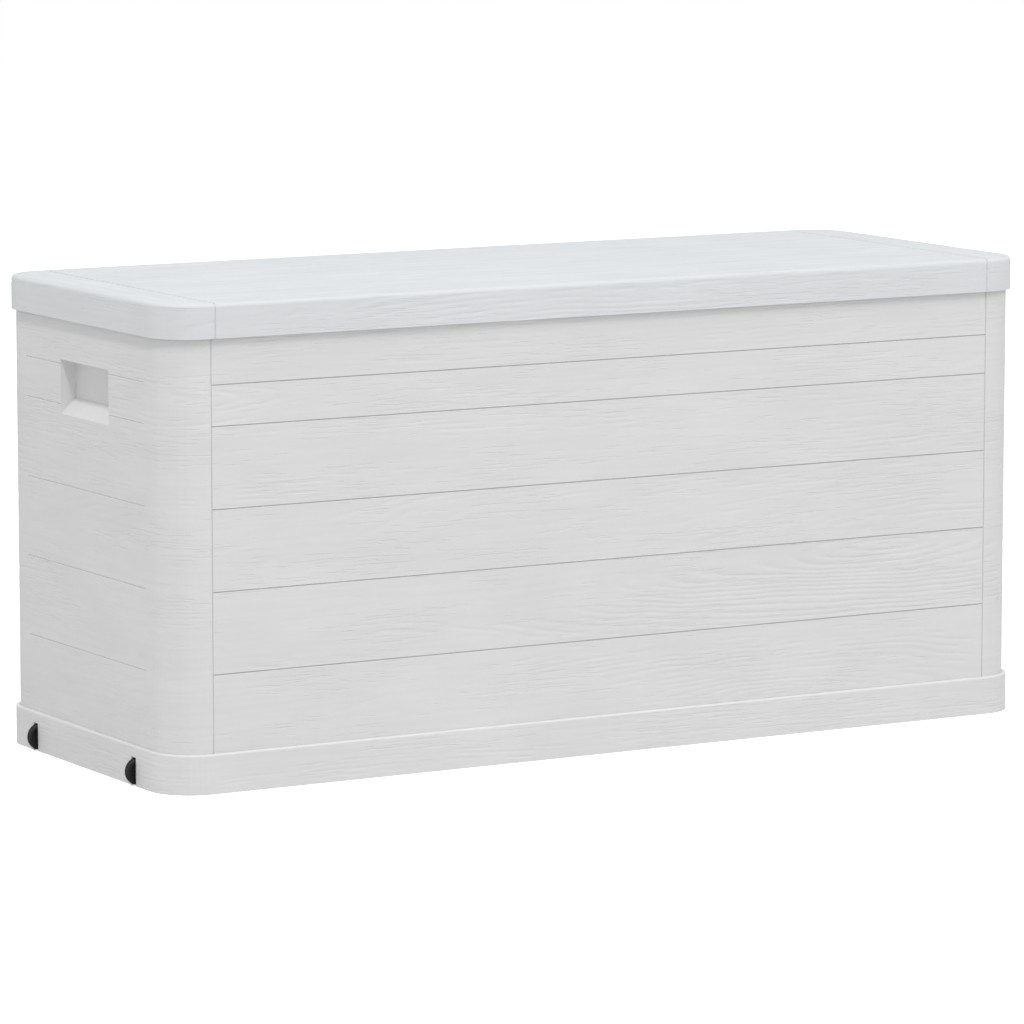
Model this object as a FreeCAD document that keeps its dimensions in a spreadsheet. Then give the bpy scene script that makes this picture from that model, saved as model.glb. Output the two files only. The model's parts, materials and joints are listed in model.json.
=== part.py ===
import FreeCAD, Part
import os
from types import SimpleNamespace

import Sketcher

# Garden storage box of moulded resin: a base tray with a ribbed underside, two long
# panels, two end panels that wrap the corners, and a lid on three rear hinges.
# Frame: +X along the length, +Y to the back, +Z up, millimetres.
# Origin: on the ground under the middle of the base.

SIZES = (
    ("box_length", "1170", "base and lid over their outer end faces"),
    ("box_depth", "450", "base and lid over their outer front and rear faces"),
    ("box_height", "560", "ground to the top of the lid"),
    ("corner_round", "53", "outer corner radius of base and lid in plan"),
    ("wall_inset", "5.3", "wall face behind the faces of base and lid"),
    ("wall_thickness", "2.5", "thickness of the four wall panels"),
    ("seam_from_end", "57.3", "outer end face to the seam of long and end panel"),
    ("seam_bevel", "1", "bevel of both panels along the seam"),
    ("rim_bevel", "1.5", "bevel along the outer top edge of the walls"),
    ("groove_width", "2", "width of a groove between two planks"),
    ("groove_depth", "1", "depth of a groove between two planks"),
    ("lowest_groove", "136.2", "height of the lowest groove"),
    ("plank_pitch", "94.5", "height of one full plank"),
    ("groove_end_margin", "18.5", "end groove stops this far before the corner"),
    ("flange_thickness", "2.5", "upright flange at each panel end"),
    ("flange_reach", "12", "how far a flange stands in from the wall"),
    ("flange_margin", "6", "flange ends below the wall top"),
    ("base_height", "46.1", "ground to the top of the base rim"),
    ("base_skirt", "3.5", "thickness of the base skirt"),
    ("base_edge_round", "2.5", "rounding of the base rim"),
    ("floor_level", "38", "ground to the top of the floor plate"),
    ("floor_thickness", "2.5", "thickness of the floor plate"),
    ("panel_slip", "0.2", "clearance of a wall panel in the base rebate"),
    ("lip_thickness", "2.5", "lip of the base inside the walls"),
    ("rib_thickness", "2.5", "ribs under the floor plate"),
    ("cross_ribs", "11", "number of ribs across the underside"),
    ("long_ribs", "3", "number of ribs along the underside"),
    ("lid_height", "40.1", "height of the lid"),
    ("lid_thickness", "2.5", "thickness of the lid"),
    ("lid_edge_round", "5", "rounding of the lid's outer top edge"),
    ("lid_seat_gap", "0.3", "lid's underside above the walls"),
    ("lid_groove_from_end", "60", "outer end face to the lid's cross groove"),
    ("lid_groove_depth", "0.8", "depth of the lid's cross groove"),
    ("lid_rib_height", "7", "ribs under the lid"),
    ("lid_rib_thickness", "2", "thickness of the ribs under the lid"),
    ("lid_rib_margin", "45", "ribs under the lid end this far inside its faces"),
    ("lid_cross_ribs", "7", "number of ribs across the lid"),
    ("lid_long_ribs", "3", "number of ribs along the lid"),
    ("handle_width", "126", "width of the hand pocket"),
    ("handle_top", "472", "height of the pocket's upper edge"),
    ("handle_lip", "408.5", "height of the pocket's lower edge"),
    ("handle_depth", "19.7", "depth of the pocket"),
    ("handle_ramp", "17.5", "height of the ramp at the pocket's bottom"),
    ("handle_lip_round", "1.5", "rounding of the pocket's lower edge"),
    ("axis_inset", "5.7", "hinge axis inside the rear wall face"),
    ("axis_drop", "6.9", "hinge axis below the lid's lower edge"),
    ("hinge_from_end", "185", "outer end face to the middle of an outer hinge"),
    ("hinge_width", "70", "width of a hinge"),
    ("knuckle_radius", "4.5", "outer radius of a hinge knuckle"),
    ("leaf_knuckle", "26", "width of the leaf's middle knuckle"),
    ("knuckle_gap", "0.4", "side gap between two knuckles"),
    ("knuckle_relief", "1", "gap behind and under a knuckle"),
    ("hinge_plate", "3", "thickness of bracket plate and leaf"),
    ("bracket_drop", "27", "bracket plate below the hinge axis"),
    ("leaf_height", "28", "height of the leaf plate on the lid"),
    ("leaf_margin", "1", "leaf plate above the lid's lower edge"),
    ("hinge_pin_radius", "2", "radius of the hinge pin"),
    ("pin_clearance", "0.06", "radial clearance of pins in their bores"),
    ("pin_head_radius", "3.2", "radius of the pin head"),
    ("pin_head_length", "1.2", "length of the pin head"),
    ("recess_side_gap", "2", "hinge to the side of its recess"),
    ("recess_foot_gap", "2", "bracket plate to the foot of its recess"),
    ("screw_radius", "1.75", "shank radius of the hinge screws"),
    ("screw_hole_gap", "0.05", "radial gap of a screw in its hole"),
    ("screw_head_radius", "3.8", "head radius of the hinge screws"),
    ("screw_head_height", "2.2", "height of a pan head"),
    ("screw_slot_width", "1", "width of the driver slot"),
    ("screw_slot_depth", "0.8", "depth of the driver slot"),
    ("bracket_screw_length", "8.5", "shank length of a bracket screw"),
    ("bracket_screw_drop", "19", "bracket screws below the hinge axis"),
    ("screw_offset", "22", "screws from the middle of a hinge"),
    ("leaf_screw_length", "7", "length of a countersunk leaf screw"),
    ("boss_radius", "4.5", "radius of the screw boss"),
    ("boss_length", "4", "length of the screw boss"),
    ("clip_wall", "2", "thickness of a corner clip"),
    ("clip_height", "40", "height of a corner clip"),
    ("clip_grip", "9", "how far a corner clip reaches over the flanges"),
    ("clip_lowest", "110", "height of the lowest corner clips"),
    ("clip_spacing", "180", "distance from clip to clip"),
    ("clips_per_corner", "3", "number of clips on one corner"),
    ("wheel_radius", "16", "radius of a wheel"),
    ("wheel_width", "10", "width of a wheel"),
    ("wheel_proud", "9.6", "wheel stands out of the end face"),
    ("wheel_ground_gap", "0.4", "wheel clears the ground while the box stands flat"),
    ("wheel_track", "260", "middle of one wheel to the middle of the other"),
    ("wheel_side_gap", "0.8", "wheel to the cheeks of its well"),
    ("wheel_hub_radius", "5", "radius of the wheel hub"),
    ("wheel_rim_radius", "12", "inner radius of the wheel rim"),
    ("wheel_dish", "1.5", "depth of the wheel's dished side"),
    ("wheel_edge_bevel", "1.2", "bevel along the edge of the tread"),
    ("well_wall", "5", "cheek thickness of a wheel well"),
    ("well_back_gap", "1.5", "wheel to the back wall of its well"),
    ("well_foot", "8", "cheeks end this far above the ground"),
    ("axle_radius", "2.5", "radius of a wheel axle"),
    ("axle_seat", "4", "axle reaches this far into each cheek"),
    ("axle_end_play", "0.2", "axle to the end of its seat"),
    ("snap_width", "4.2", "width of the snap mouth under an axle"),
)

SIDES = (-1, 1)
TOLERANCE = 0.01


class Size:
    """A length: its spreadsheet expression and its present value."""

    def __init__(self, text, value):
        self.text = text
        self.value = value

    def __add__(self, other):
        other = as_size(other)
        return Size(f"({self.text} + {other.text})", self.value + other.value)

    def __radd__(self, other):
        return as_size(other) + self

    def __sub__(self, other):
        other = as_size(other)
        return Size(f"({self.text} - {other.text})", self.value - other.value)

    def __rsub__(self, other):
        return as_size(other) - self

    def __mul__(self, other):
        other = as_size(other)
        return Size(f"({self.text} * {other.text})", self.value * other.value)

    def __rmul__(self, other):
        return as_size(other) * self

    def __truediv__(self, other):
        other = as_size(other)
        return Size(f"({self.text} / {other.text})", self.value / other.value)

    def __neg__(self):
        return self * -1


def as_size(number):
    """Give a plain number the form of a Size."""
    if isinstance(number, Size):
        return number
    return Size(f"({number})", float(number))


def make_sheet(doc):
    """Fill the spreadsheet and return its cells as named sizes."""
    sheet = doc.addObject("Spreadsheet::Sheet", "Sizes")
    for row, (alias, value, meaning) in enumerate(SIZES, start=1):
        sheet.set(f"A{row}", meaning)
        sheet.set(f"B{row}", value)
        sheet.setAlias(f"B{row}", alias)
    doc.recompute()
    cells = {alias: Size(f"Sizes.{alias}", float(sheet.get(alias))) for alias, value, meaning in SIZES}
    return SimpleNamespace(**cells)


def add_places(cell):
    """Work out the faces and axes that several sub-parts share."""
    cell.end_x = cell.box_length / 2
    cell.face_y = cell.box_depth / 2
    cell.wall_x = cell.end_x - cell.wall_inset
    cell.wall_y = cell.face_y - cell.wall_inset
    cell.wall_round = cell.corner_round - cell.wall_inset
    cell.inner_wall_y = cell.wall_y - cell.wall_thickness
    cell.seam_x = cell.end_x - cell.seam_from_end
    cell.lid_low = cell.box_height - cell.lid_height
    cell.lid_under = cell.box_height - cell.lid_thickness
    cell.wall_top = cell.lid_under - cell.lid_seat_gap
    cell.flange_foot = cell.base_height + cell.lid_seat_gap
    cell.flange_top = cell.wall_top - cell.flange_margin
    cell.flange_tip_y = cell.inner_wall_y - cell.flange_reach
    cell.axis_y = cell.wall_y - cell.axis_inset
    cell.axis_z = cell.lid_low - cell.axis_drop
    cell.plate_back = -(cell.knuckle_radius + cell.knuckle_relief)
    cell.plate_front = cell.plate_back + cell.hinge_plate
    cell.recess_y = cell.axis_y + cell.plate_back
    cell.recess_inner_y = cell.recess_y - cell.wall_thickness
    cell.recess_foot = cell.axis_z - cell.bracket_drop - cell.recess_foot_gap
    cell.recess_half = cell.hinge_width / 2 + cell.recess_side_gap
    cell.bracket_screw_z = cell.axis_z - cell.bracket_screw_drop
    cell.leaf_y = cell.face_y - cell.lid_thickness - cell.axis_y
    cell.leaf_foot = cell.axis_drop + cell.leaf_margin
    cell.leaf_screw_z = cell.axis_z + cell.leaf_foot + cell.leaf_height / 2
    cell.wheel_x = -(cell.end_x + cell.wheel_proud - cell.wheel_radius)
    cell.wheel_z = cell.wheel_radius + cell.wheel_ground_gap
    cell.well_half = cell.wheel_width / 2 + cell.wheel_side_gap
    cell.well_back = cell.wheel_x + cell.wheel_radius + cell.well_back_gap


def groove_levels(cell):
    """Heights of the grooves: full planks, then one half plank below the lid."""
    return [cell.lowest_groove + cell.plank_pitch * count for count in (0, 1, 2, 3, 3.5)]


def hinge_places(cell):
    """Middle of each hinge along the box."""
    return [(cell.end_x - cell.hinge_from_end) * place for place in (-1, 0, 1)]


def screw_places(cell):
    """Both screws of each hinge along the box."""
    return [middle + cell.screw_offset * side for middle in hinge_places(cell) for side in SIDES]


def bind(target, name, size):
    """Tie a property to the spreadsheet."""
    target.setExpression(name, as_size(size).text)


class Loop:
    """A closed outline of straight edges; a vertex may carry a radius at a square corner."""

    def __init__(self, *vertices):
        self.vertices = [tuple(as_size(part) for part in vertex) for vertex in vertices]

    def corner_ends(self, index):
        """Where the outline enters and leaves one vertex."""
        vertex = self.vertices[index]
        if len(vertex) == 2:
            return vertex, vertex
        before = self.vertices[index - 1]
        after = self.vertices[(index + 1) % len(self.vertices)]
        return self.step_towards(vertex, before), self.step_towards(vertex, after)

    def step_towards(self, vertex, neighbour):
        """Move from a rounded vertex by its radius towards a neighbour."""
        along_x = neighbour[0].value - vertex[0].value
        along_y = neighbour[1].value - vertex[1].value
        if abs(along_x) > abs(along_y):
            return vertex[0] + vertex[2] * (1 if along_x > 0 else -1), vertex[1]
        return vertex[0], vertex[1] + vertex[2] * (1 if along_y > 0 else -1)

    def draw(self, sketch):
        """Add the edges and their constraints to a sketch."""
        ends = [self.corner_ends(index) for index in range(len(self.vertices))]
        count = len(ends)
        lines = []
        for index in range(count):
            start = ends[index][1]
            finish = ends[(index + 1) % count][0]
            lines.append(sketch.addGeometry(Part.LineSegment(point(start), point(finish))))
        for index, line in enumerate(lines):
            locate(sketch, line, 1, ends[index][1])
            before = lines[index - 1]
            if len(self.vertices[index]) == 2:
                sketch.addConstraint(Sketcher.Constraint("Coincident", before, 2, line, 1))
            else:
                locate(sketch, before, 2, ends[index][0])
                add_corner(sketch, before, line, ends[index], self.vertices[index])


class Ring:
    """A full circle."""

    def __init__(self, x, y, radius):
        self.centre = (as_size(x), as_size(y))
        self.radius = as_size(radius)

    def draw(self, sketch):
        """Add the circle and its constraints to a sketch."""
        circle = Part.Circle(point(self.centre), FreeCAD.Vector(0, 0, 1), self.radius.value)
        edge = sketch.addGeometry(circle)
        locate(sketch, edge, 3, self.centre)
        fix_radius(sketch, edge, self.radius)


def point(place):
    """Turn a pair of sizes into a vector of the sketch plane."""
    return FreeCAD.Vector(place[0].value, place[1].value, 0)


def locate(sketch, edge, end, place):
    """Hold one point of an edge at a place measured from the sketch origin."""
    for kind, size in zip(("DistanceX", "DistanceY"), place):
        number = sketch.addConstraint(Sketcher.Constraint(kind, -1, 1, edge, end, size.value))
        sketch.setExpression(f"Constraints[{number}]", size.text)


def fix_radius(sketch, edge, radius):
    """Give an arc or circle its radius."""
    number = sketch.addConstraint(Sketcher.Constraint("Radius", edge, radius.value))
    sketch.setExpression(f"Constraints[{number}]", radius.text)


def add_corner(sketch, before, after, ends, vertex):
    """Join two square edges by an arc."""
    enter = point(ends[0])
    leave = point(ends[1])
    centre = enter + leave - point(vertex)
    turn = (enter - centre).cross(leave - centre).z
    first, last = (enter, leave) if turn > 0 else (leave, enter)
    east = FreeCAD.Vector(1, 0, 0)
    angles = []
    for end in (first, last):
        ray = end - centre
        angle = east.getAngle(ray)
        angles.append(angle if ray.y >= 0 else -angle)
    circle = Part.Circle(centre, FreeCAD.Vector(0, 0, 1), vertex[2].value)
    arc = sketch.addGeometry(Part.ArcOfCircle(circle, angles[0], angles[1]))
    enter_end, leave_end = (1, 2) if turn > 0 else (2, 1)
    sketch.addConstraint(Sketcher.Constraint("Coincident", before, 2, arc, enter_end))
    sketch.addConstraint(Sketcher.Constraint("Coincident", after, 1, arc, leave_end))
    fix_radius(sketch, arc, vertex[2])


def rectangle(low_x, high_x, low_y, high_y):
    """A plain rectangle between four lines."""
    return Loop((low_x, low_y), (high_x, low_y), (high_x, high_y), (low_x, high_y))


def rounded_plan(cell, inset):
    """The plan of the box, drawn in by an inset, with concentric corners."""
    half_x = cell.end_x - inset
    half_y = cell.face_y - inset
    radius = cell.corner_round - inset
    return Loop(
        (-half_x, -half_y, radius),
        (half_x, -half_y, radius),
        (half_x, half_y, radius),
        (-half_x, half_y, radius),
    )


def new_body(doc, name):
    """Start a sub-part."""
    body = doc.addObject("PartDesign::Body", name)
    body.Label = name
    return body


def place_body(body, x, y, z):
    """Put a sub-part that is drawn about its own origin in its place."""
    bind(body, "Placement.Base.x", x)
    bind(body, "Placement.Base.y", y)
    bind(body, "Placement.Base.z", z)


def origin_feature(body, role):
    """Find an origin plane or axis of a sub-part by its role."""
    return next(feature for feature in body.Origin.OriginFeatures if feature.Role == role)


def add_sketch(body, name, plane, offset, loops):
    """Draw outlines on a plane of the body, moved along the plane's normal."""
    sketch = body.newObject("Sketcher::SketchObject", f"{body.Name}_{name}_outline")
    sketch.AttachmentSupport = (origin_feature(body, plane), [""])
    sketch.MapMode = "FlatFace"
    bind(sketch, "AttachmentOffset.Base.z", offset)
    for loop in loops:
        loop.draw(sketch)
    return sketch


def add_extrusion(body, kind, name, sketch, length, symmetric, reverse):
    """Add a pad or a pocket and return it with the body's volume before and after."""
    before = body.Tip.Shape.Volume if body.Tip else 0.0
    feature = body.newObject(f"PartDesign::{kind}", f"{body.Name}_{name}")
    feature.Profile = sketch
    feature.SideType = "Symmetric" if symmetric else "One side"
    feature.Reversed = reverse
    bind(feature, "Length", length)
    body.Document.recompute()
    return feature, before, feature.Shape.Volume


def add_pad(body, name, plane, offset, loops, length, symmetric=False, reverse=False):
    """Add material and check that the body grew."""
    sketch = add_sketch(body, name, plane, offset, loops)
    feature, before, after = add_extrusion(body, "Pad", name, sketch, length, symmetric, reverse)
    if after <= before:
        raise ValueError(f"{feature.Name} adds nothing")
    return feature


def add_pocket(body, name, plane, offset, loops, length, symmetric=False, reverse=False):
    """Remove material and check that the body shrank."""
    sketch = add_sketch(body, name, plane, offset, loops)
    feature, before, after = add_extrusion(body, "Pocket", name, sketch, length, symmetric, reverse)
    if after >= before:
        raise ValueError(f"{feature.Name} cuts nothing")
    return feature


def dress_edges(body, kind, name, size, wanted):
    """Fillet or chamfer the edges whose middle passes a test."""
    base = body.Tip
    names = []
    for number, edge in enumerate(base.Shape.Edges, start=1):
        if wanted(edge.valueAt((edge.FirstParameter + edge.LastParameter) / 2)):
            names.append(f"Edge{number}")
    if not names:
        raise ValueError(f"{body.Name} has no edge for {name}")
    feature = body.newObject(f"PartDesign::{kind}", f"{body.Name}_{name}")
    feature.Base = (base, names)
    bind(feature, "Radius" if kind == "Fillet" else "Size", size)
    body.Document.recompute()
    return feature


def on_rounded_plan(cell, place, inset):
    """Tell whether a place lies on the box's plan drawn in by an inset."""
    half_x = cell.end_x.value - inset
    half_y = cell.face_y.value - inset
    radius = cell.corner_round.value - inset
    beyond_x = abs(place.x) - (half_x - radius)
    beyond_y = abs(place.y) - (half_y - radius)
    if beyond_x > TOLERANCE and beyond_y > TOLERANCE:
        return abs((beyond_x ** 2 + beyond_y ** 2) ** 0.5 - radius) < TOLERANCE
    return abs(abs(place.x) - half_x) < TOLERANCE or abs(abs(place.y) - half_y) < TOLERANCE


def near(value, size):
    """Tell whether a coordinate is at a size."""
    return abs(value - size.value) < TOLERANCE


def spread(half, count, thickness):
    """Ribs of one thickness, evenly spaced between two walls."""
    pitch = half * 2 / (count + 1)
    number = int(round(count.value))
    middles = [pitch * (index - (number - 1) / 2) for index in range(number)]
    return [(middle - thickness / 2, middle + thickness / 2) for middle in middles]


def base_tray(doc, cell):
    """Base with its skirt, wall rebate, floor, ribs and two wheel wells."""
    body = new_body(doc, "base_tray")
    underside = cell.floor_level - cell.floor_thickness
    rebate_outer = cell.wall_inset - cell.panel_slip
    rebate_inner = cell.wall_inset + cell.wall_thickness + cell.panel_slip
    rim_depth = cell.base_height - cell.floor_level
    add_pad(body, "block", "XY_Plane", 0, [rounded_plan(cell, as_size(0))], cell.base_height)
    dress_edges(
        body, "Fillet", "rim", cell.base_edge_round,
        lambda place: near(place.z, cell.base_height) and on_rounded_plan(cell, place, 0),
    )
    interior = [rounded_plan(cell, rebate_inner + cell.lip_thickness)]
    add_pocket(body, "interior", "XY_Plane", cell.base_height, interior, rim_depth)
    rebate = [rounded_plan(cell, rebate_outer), rounded_plan(cell, rebate_inner)]
    add_pocket(body, "rebate", "XY_Plane", cell.base_height, rebate, rim_depth)
    hollow = [rounded_plan(cell, cell.base_skirt)]
    add_pocket(body, "underside", "XY_Plane", 0, hollow, underside, reverse=True)
    reach_x = cell.end_x - cell.base_skirt / 2
    reach_y = cell.face_y - cell.base_skirt / 2
    across = [
        rectangle(low, high, -reach_y, reach_y)
        for low, high in spread(cell.end_x - cell.base_skirt, cell.cross_ribs, cell.rib_thickness)
    ]
    add_pad(body, "cross_ribs", "XY_Plane", 0, across, underside)
    along = [
        rectangle(-reach_x, reach_x, low, high)
        for low, high in spread(cell.face_y - cell.base_skirt, cell.long_ribs, cell.rib_thickness)
    ]
    add_pad(body, "long_ribs", "XY_Plane", 0, along, underside)
    add_wheel_wells(body, cell, underside)
    return body


def add_wheel_wells(body, cell, underside):
    """Wells that stand behind the end face, with a snap seat for each axle."""
    half = cell.well_half + cell.well_wall
    middles = [cell.wheel_track / 2 * side for side in SIDES]
    in_skirt = cell.end_x - cell.base_skirt / 2
    shells = [
        rectangle(-in_skirt, cell.well_back + cell.well_wall, middle - half, middle + half)
        for middle in middles
    ]
    add_pad(body, "wells", "XY_Plane", cell.well_foot, shells, underside - cell.well_foot)
    spaces = [
        rectangle(-(cell.end_x + cell.wheel_proud), cell.well_back,
                  middle - cell.well_half, middle + cell.well_half)
        for middle in middles
    ]
    well_height = cell.wheel_z + cell.wheel_radius + cell.wheel_side_gap
    add_pocket(body, "wheel_slots", "XY_Plane", 0, spaces, well_height, reverse=True)
    seat_length = (cell.well_half + cell.axle_seat) * 2
    bore = Ring(cell.wheel_x, cell.wheel_z, cell.axle_radius + cell.pin_clearance)
    half_mouth = cell.snap_width / 2
    mouth = rectangle(cell.wheel_x - half_mouth, cell.wheel_x + half_mouth, 0, cell.wheel_z)
    for name, middle in zip(("front", "rear"), middles):
        add_pocket(body, f"{name}_axle_seat", "XZ_Plane", -middle, [bore], seat_length, symmetric=True)
        add_pocket(body, f"{name}_snap_mouth", "XZ_Plane", -middle, [mouth], seat_length, symmetric=True)


def long_panel(doc, cell, name, side):
    """Front or rear panel: a grooved wall with an upright flange at each end."""
    body = new_body(doc, name)
    face = cell.wall_y * side
    inner = cell.inner_wall_y * side
    bevelled_face = (cell.wall_y - cell.seam_bevel) * side
    near_seam = cell.seam_x - cell.seam_bevel
    plan = Loop(
        (-cell.seam_x, inner),
        (-cell.seam_x, bevelled_face),
        (-near_seam, face),
        (near_seam, face),
        (cell.seam_x, bevelled_face),
        (cell.seam_x, inner),
    )
    add_pad(body, "wall", "XY_Plane", cell.floor_level, [plan], cell.wall_top - cell.floor_level)
    dress_edges(
        body, "Chamfer", "top_bevel", cell.rim_bevel,
        lambda place: near(place.z, cell.wall_top) and near(place.y * side, cell.wall_y),
    )
    half_groove = cell.groove_width / 2
    bottom = (cell.wall_y - cell.groove_depth) * side
    grooves = [
        Loop((face, level - half_groove), (bottom, level), (face, level + half_groove))
        for level in groove_levels(cell)
    ]
    add_pocket(body, "grooves", "YZ_Plane", 0, grooves, cell.seam_x * 2, symmetric=True)
    root = (cell.wall_y - cell.wall_thickness / 2) * side
    tip = cell.flange_tip_y * side
    flanges = [
        rectangle(cell.seam_x * end, (cell.seam_x - cell.flange_thickness) * end, root, tip)
        for end in SIDES
    ]
    add_pad(body, "flanges", "XY_Plane", cell.flange_foot, flanges, cell.flange_top - cell.flange_foot)
    return body


def rear_panel(doc, cell):
    """Rear panel: the long panel with a recess and two screw bosses for each hinge."""
    body = long_panel(doc, cell, "rear_panel", 1)
    outer_half = cell.recess_half + cell.wall_thickness
    foot = cell.recess_foot - cell.wall_thickness
    blocks = [
        rectangle(middle - outer_half, middle + outer_half, cell.recess_inner_y,
                  cell.wall_y - cell.wall_thickness / 2)
        for middle in hinge_places(cell)
    ]
    add_pad(body, "recess_blocks", "XY_Plane", foot, blocks, cell.wall_top - foot)
    recesses = [
        rectangle(middle - cell.recess_half, middle + cell.recess_half, cell.recess_y, cell.face_y)
        for middle in hinge_places(cell)
    ]
    add_pocket(body, "recesses", "XY_Plane", cell.wall_top, recesses, cell.wall_top - cell.recess_foot)
    bosses = [Ring(x, cell.bracket_screw_z, cell.boss_radius) for x in screw_places(cell)]
    add_pad(body, "bosses", "XZ_Plane", -cell.recess_inner_y, bosses, cell.boss_length)
    hole_radius = cell.screw_radius + cell.screw_hole_gap
    holes = [Ring(x, cell.bracket_screw_z, hole_radius) for x in screw_places(cell)]
    hole_depth = cell.bracket_screw_length - cell.hinge_plate + cell.lid_seat_gap
    add_pocket(body, "screw_holes", "XZ_Plane", -cell.recess_y, holes, hole_depth, reverse=True)
    return body


def end_panel(doc, cell, name, side):
    """End panel: a wall that wraps both corners, with flanges and a hand pocket."""
    body = new_body(doc, name)
    thickness = cell.wall_thickness
    outer_x = cell.wall_x * side
    inner_x = (cell.wall_x - thickness) * side
    inner_round = cell.wall_round - thickness
    seam = cell.seam_x * side
    past_seam = (cell.seam_x + cell.seam_bevel) * side
    bevelled_y = cell.wall_y - cell.seam_bevel
    plan = Loop(
        (seam, -cell.inner_wall_y),
        (seam, -bevelled_y),
        (past_seam, -cell.wall_y),
        (outer_x, -cell.wall_y, cell.wall_round),
        (outer_x, cell.wall_y, cell.wall_round),
        (past_seam, cell.wall_y),
        (seam, bevelled_y),
        (seam, cell.inner_wall_y),
        (inner_x, cell.inner_wall_y, inner_round),
        (inner_x, -cell.inner_wall_y, inner_round),
    )
    add_pad(body, "wall", "XY_Plane", cell.floor_level, [plan], cell.wall_top - cell.floor_level)
    dress_edges(
        body, "Chamfer", "top_bevel", cell.rim_bevel,
        lambda place: near(place.z, cell.wall_top)
        and on_rounded_plan(cell, place, cell.wall_inset.value),
    )
    half_groove = cell.groove_width / 2
    bottom = (cell.wall_x - cell.groove_depth) * side
    grooves = [
        Loop((outer_x, level - half_groove), (bottom, level), (outer_x, level + half_groove))
        for level in groove_levels(cell)
    ]
    groove_run = (cell.face_y - cell.corner_round - cell.groove_end_margin) * 2
    add_pocket(body, "grooves", "XZ_Plane", 0, grooves, groove_run, symmetric=True)
    flange_x = (cell.seam_x + cell.flange_thickness) * side
    flanges = [
        rectangle(seam, flange_x, (cell.wall_y - thickness / 2) * end, cell.flange_tip_y * end)
        for end in SIDES
    ]
    add_pad(body, "flanges", "XY_Plane", cell.flange_foot, flanges, cell.flange_top - cell.flange_foot)
    add_hand_pocket(body, cell, side)
    return body


def add_hand_pocket(body, cell, side):
    """A pocket for the fingers: upright back, and a ramp that drains outwards."""
    thickness = cell.wall_thickness
    slope = cell.handle_ramp / cell.handle_depth
    under_ramp = cell.handle_lip - thickness * 1.4

    def at(depth, height):
        return (cell.wall_x - depth) * side, height

    root = thickness / 2
    back = cell.handle_depth + thickness
    cup = Loop(
        at(root, cell.handle_top + thickness),
        at(back, cell.handle_top + thickness),
        at(back, under_ramp + slope * back),
        at(root, under_ramp + slope * root),
    )
    add_pad(body, "cup", "XZ_Plane", 0, [cup], cell.handle_width + thickness * 2, symmetric=True)
    hollow = Loop(
        at(-thickness, cell.handle_top),
        at(cell.handle_depth, cell.handle_top),
        at(cell.handle_depth, cell.handle_lip + cell.handle_ramp),
        at(as_size(0), cell.handle_lip),
        at(-thickness, cell.handle_lip),
    )
    add_pocket(body, "hand_pocket", "XZ_Plane", 0, [hollow], cell.handle_width, symmetric=True)
    dress_edges(
        body, "Fillet", "lip_round", cell.handle_lip_round,
        lambda place: near(place.z, cell.handle_lip) and near(place.x * side, cell.wall_x)
        and abs(place.y) < TOLERANCE,
    )


def lid(doc, cell):
    """Lid: a shell with a rounded top edge, cross grooves and ribs underneath."""
    body = new_body(doc, "lid")
    add_pad(body, "block", "XY_Plane", cell.lid_low, [rounded_plan(cell, as_size(0))], cell.lid_height)
    dress_edges(
        body, "Fillet", "top_edge", cell.lid_edge_round,
        lambda place: near(place.z, cell.box_height),
    )
    hollow = [rounded_plan(cell, cell.lid_thickness)]
    hollow_height = cell.lid_height - cell.lid_thickness
    add_pocket(body, "hollow", "XY_Plane", cell.lid_low, hollow, hollow_height, reverse=True)
    dress_edges(
        body, "Fillet", "inner_edge", cell.lid_edge_round - cell.lid_thickness,
        lambda place: near(place.z, cell.lid_under),
    )
    add_lid_ribs(body, cell)
    add_lid_grooves(body, cell)
    add_leaf_screw_holes(body, cell)
    return body


def add_lid_ribs(body, cell):
    """Shallow ribs under the lid's top, clear of the walls while it swings."""
    foot = cell.lid_under - cell.lid_rib_height
    half_x = cell.end_x - cell.lid_rib_margin
    half_y = cell.face_y - cell.lid_rib_margin
    rib_height = cell.lid_rib_height + cell.lid_thickness / 2
    across = [
        rectangle(low, high, -half_y, half_y)
        for low, high in spread(half_x, cell.lid_cross_ribs, cell.lid_rib_thickness)
    ]
    add_pad(body, "cross_ribs", "XY_Plane", foot, across, rib_height)
    along = [
        rectangle(-half_x, half_x, low, high)
        for low, high in spread(half_y, cell.lid_long_ribs, cell.lid_rib_thickness)
    ]
    add_pad(body, "long_ribs", "XY_Plane", foot, along, rib_height)


def add_lid_grooves(body, cell):
    """A groove near each end, over the top and down the front and rear faces."""
    bottom_y = cell.face_y - cell.lid_groove_depth
    bottom_z = cell.box_height - cell.lid_groove_depth
    bottom_round = cell.lid_edge_round - cell.lid_groove_depth
    past_y = cell.face_y + cell.lid_groove_depth
    past_z = cell.box_height + cell.lid_groove_depth
    section = Loop(
        (-bottom_y, cell.lid_low),
        (-bottom_y, bottom_z, bottom_round),
        (bottom_y, bottom_z, bottom_round),
        (bottom_y, cell.lid_low),
        (past_y, cell.lid_low),
        (past_y, past_z),
        (-past_y, past_z),
        (-past_y, cell.lid_low),
    )
    groove_x = cell.end_x - cell.lid_groove_from_end
    for name, side in zip(("left", "right"), SIDES):
        add_pocket(
            body, f"{name}_groove", "YZ_Plane", groove_x * side, [section],
            cell.groove_width, symmetric=True,
        )


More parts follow.
